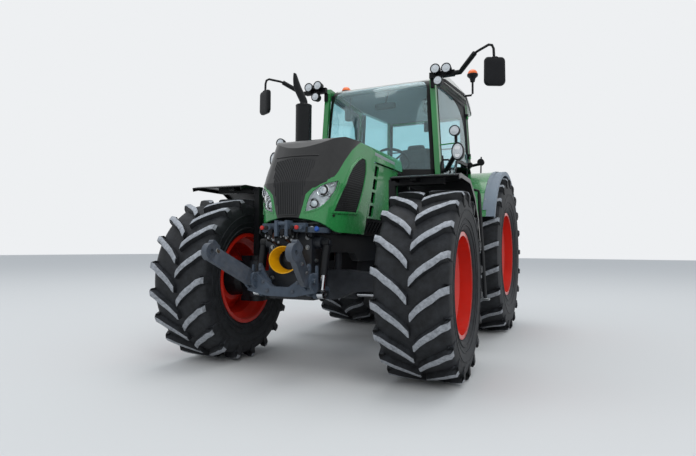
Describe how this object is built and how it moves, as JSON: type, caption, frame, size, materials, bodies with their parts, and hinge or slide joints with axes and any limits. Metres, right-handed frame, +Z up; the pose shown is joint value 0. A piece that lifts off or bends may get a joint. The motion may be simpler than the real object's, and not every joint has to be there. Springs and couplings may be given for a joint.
{
  "type": "farm tractor",
  "caption": "Four-wheel farm tractor with cab, front and rear linkage, steered front wheels, opening bonnet and doors.",
  "frame": {"origin": "on the ground, midway along the length and on the centre line", "axes": "+Z up, +Y to the rear, +X to the driver's left; it drives towards -Y"},
  "size_m": [2.778, 5.1873, 3.131],
  "materials": {
    "green_paint": "gloss",
    "dark_paint": "satin",
    "grey_casting": "satin",
    "black_steel": "satin",
    "black_plastic": "matte",
    "grey_plastic": "satin",
    "red_paint": "gloss",
    "tyre": "matte",
    "cream_plastic": "satin",
    "yellow_plastic": "satin",
    "orange_lens": "gloss",
    "red_lens": "gloss",
    "clear_lens": "gloss",
    "glass": "gloss",
    "seat_cloth": "matte",
    "bright_steel": "satin"
  },
  "bodies": {
    "chassis": {"front_axle": "black_steel", "front_frame": "grey_casting", "front_bumper": "grey_casting", "pto_guard": "yellow_plastic", "engine": "grey_casting", "transmission": "grey_casting", "bulkhead": "black_steel", "engine_side_panels": "green_paint", "cab_shell": "black_steel", "cab_pillars": "green_paint", "cab_roof": "cream_plastic", "windscreen": "glass", "rear_glass": "glass", "cab_console": "black_plastic", "seat": "seat_cloth", "steering_wheel": "black_plastic", "rear_fenders": "green_paint", "fender_flares": "grey_plastic", "side_tanks": "black_plastic", "access_steps": "black_steel", "exhaust": "black_steel", "work_lights": "black_plastic", "beacons": "orange_lens", "mirrors": "black_plastic", "road_lamps": "black_plastic", "tail_lamps": "red_lens", "rear_hitch": "grey_casting"},
    "bonnet": {"bonnet": "green_paint", "bonnet_mask": "dark_paint", "headlights": "clear_lens", "bonnet_grilles": "black_plastic"},
    "door_left": {"door_frame_left": "black_steel", "door_glass_left": "glass"},
    "door_right": {"door_frame_right": "black_steel", "door_glass_right": "glass"},
    "knuckle_left": {"knuckle_left": "black_steel", "front_fender_left": "black_plastic"},
    "knuckle_right": {"knuckle_right": "black_steel", "front_fender_right": "black_plastic"},
    "front_wheel_left": {"front_rim_left": "red_paint", "front_tyre_left": "tyre"},
    "front_wheel_right": {"front_rim_right": "red_paint", "front_tyre_right": "tyre"},
    "rear_wheel_left": {"rear_rim_left": "red_paint", "rear_tyre_left": "tyre"},
    "rear_wheel_right": {"rear_rim_right": "red_paint", "rear_tyre_right": "tyre"},
    "tie_rods": {"tie_rods": "bright_steel"},
    "front_lift": {"front_lift_frame": "grey_casting"},
    "front_link_left": {"front_link_left": "grey_casting"},
    "front_link_right": {"front_link_right": "grey_casting"},
    "front_barrels": {"front_lift_barrels": "black_steel"},
    "front_rods": {"front_lift_rods": "bright_steel"},
    "rear_lower_links": {"rear_lower_links": "black_steel"},
    "rear_lift_arms": {"rear_lift_arms": "grey_casting"},
    "rear_lift_rods": {"rear_lift_rods": "black_steel"}
  },
  "joints": [
    {"name": "bonnet_hinge", "type": "hinge", "parent": "chassis", "child": "bonnet", "pos_m": [0, -0.61633, 1.909], "axis": [-1, 0, 0], "range_deg": [0, 45]},
    {"name": "door_left_hinge", "type": "hinge", "parent": "chassis", "child": "door_left", "pos_m": [0.77747, 0.83865, 1.97157], "axis": [-0.061, 0, 0.9981], "range_deg": [0, 75]},
    {"name": "door_right_hinge", "type": "hinge", "parent": "chassis", "child": "door_right", "pos_m": [-0.77747, 0.83865, 1.97157], "axis": [-0.061, 0, -0.9981], "range_deg": [0, 75]},
    {"name": "steer_left", "type": "hinge", "parent": "chassis", "child": "knuckle_left", "pos_m": [0.65, -1.50733, 0.722], "axis": [0, 0, 1], "range_deg": [-37.2, 32.8]},
    {"name": "steer_right", "type": "hinge", "parent": "chassis", "child": "knuckle_right", "pos_m": [-0.65, -1.50733, 0.722], "axis": [0, 0, 1], "range_deg": [-37.2, 32.8]},
    {"name": "steering_rod_slide", "type": "slide", "parent": "chassis", "child": "tie_rods", "axis": [1, 0, 0], "range_m": [-0.115, 0.13]},
    {"name": "front_wheel_left_spin", "type": "hinge", "parent": "knuckle_left", "child": "front_wheel_left", "pos_m": [0.97976, -1.49466, 0.722], "axis": [0.9993, 0.0384, 0], "continuous": true},
    {"name": "rear_wheel_left_spin", "type": "hinge", "parent": "chassis", "child": "rear_wheel_left", "pos_m": [0.85, 1.27567, 0.942], "axis": [1, 0, 0], "continuous": true},
    {"name": "front_wheel_right_spin", "type": "hinge", "parent": "knuckle_right", "child": "front_wheel_right", "pos_m": [-0.97976, -1.52, 0.722], "axis": [0.9993, 0.0384, 0], "continuous": true},
    {"name": "rear_wheel_right_spin", "type": "hinge", "parent": "chassis", "child": "rear_wheel_right", "pos_m": [-0.85, 1.27567, 0.942], "axis": [1, 0, 0], "continuous": true},
    {"name": "front_lift", "type": "hinge", "parent": "chassis", "child": "front_lift", "pos_m": [0, -1.83933, 0.64], "axis": [1, 0, 0], "range_deg": [-3, 48]},
    {"name": "front_barrel_pivot", "type": "hinge", "parent": "chassis", "child": "front_barrels", "pos_m": [0, -1.93933, 1.035], "axis": [1, 0, 0], "range_deg": [-1.48, 8.74]},
    {"name": "front_rod_slide", "type": "slide", "parent": "front_barrels", "child": "front_rods", "axis": [0, -0.2183, -0.9759], "range_m": [-0.02, 0.19]},
    {"name": "front_link_right_fold", "type": "hinge", "parent": "front_lift", "child": "front_link_right", "pos_m": [0, -2.16433, 0.76], "axis": [-1, 0, 0], "range_deg": [0, 61]},
    {"name": "front_link_left_fold", "type": "hinge", "parent": "front_lift", "child": "front_link_left", "pos_m": [0, -2.16433, 0.76], "axis": [-1, 0, 0], "range_deg": [0, 61]},
    {"name": "rear_lift", "type": "hinge", "parent": "chassis", "child": "rear_lift_arms", "pos_m": [0, 1.70567, 1.145], "axis": [1, 0, 0], "range_deg": [-20, 35]},
    {"name": "lower_link_pivot", "type": "hinge", "parent": "chassis", "child": "rear_lower_links", "pos_m": [0, 1.67567, 0.56], "axis": [1, 0, 0], "range_deg": [-18.95, 32.41]},
    {"name": "lift_rod_pivot", "type": "hinge", "parent": "rear_lift_arms", "child": "rear_lift_rods", "pos_m": [0, 2.03567, 1.145], "axis": [1, 0, 0], "range_deg": [-37.37, 21.78]}
  ],
  "couplings": [
    {"joint": "steer_right", "follows": "steer_left", "ratio": 1},
    {"joint": "steering_rod_slide", "follows": "steer_left", "m_per_rad": -0.19},
    {"joint": "front_barrel_pivot", "follows": "front_lift", "ratio": 0.16121},
    {"joint": "front_rod_slide", "follows": "front_lift", "m_per_rad": 0.16752},
    {"joint": "lower_link_pivot", "follows": "rear_lift", "ratio": 0.89731},
    {"joint": "lift_rod_pivot", "follows": "rear_lift", "ratio": -1.0392}
  ]
}
